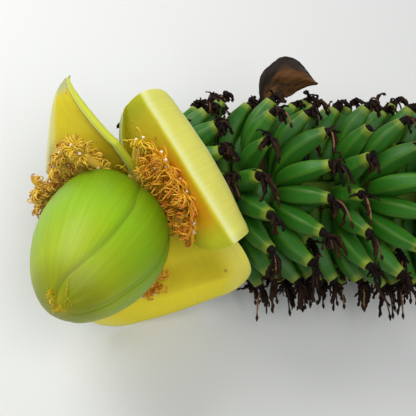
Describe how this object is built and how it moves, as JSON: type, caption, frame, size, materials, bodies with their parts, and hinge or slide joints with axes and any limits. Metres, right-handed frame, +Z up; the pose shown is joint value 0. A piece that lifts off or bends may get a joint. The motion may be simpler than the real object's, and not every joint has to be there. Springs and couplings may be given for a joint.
{
  "type": "cut banana flower stalk with young fruit",
  "caption": "Cut banana flower stalk: rows of small green fruits with withered flower ends, a hooked stalk end, a fat lime green bud, opened yellow bracts and male flowers.",
  "frame": {"origin": "middle of the bounding box, on the floor that the cutting lies on", "axes": "+Z up, +X along the length from the bud to the cut end of the stalk, -Y the side that the bud hangs to"},
  "size_m": [0.5402, 0.3032, 0.236],
  "materials": {
    "stalk": "satin",
    "bud": "satin",
    "bract": "satin",
    "flowers": "matte",
    "fruit": "satin",
    "dried": "matte"
  },
  "bodies": {
    "root": {"stalk": "stalk", "bud_heart": "bud", "bud_wrap_1": "bud", "bud_wrap_2": "bud", "bract_upper": "bract", "bract_side": "bract", "bract_lower": "bract", "flowers_upper": "flowers", "flowers_side": "flowers", "flowers_lower": "flowers", "dried_bract": "dried", "hand_1": "fruit", "hand_2": "fruit", "hand_3": "fruit", "hand_4": "fruit", "hand_5": "fruit", "hand_6": "fruit", "hand_7": "fruit"}
  },
  "joints": []
}
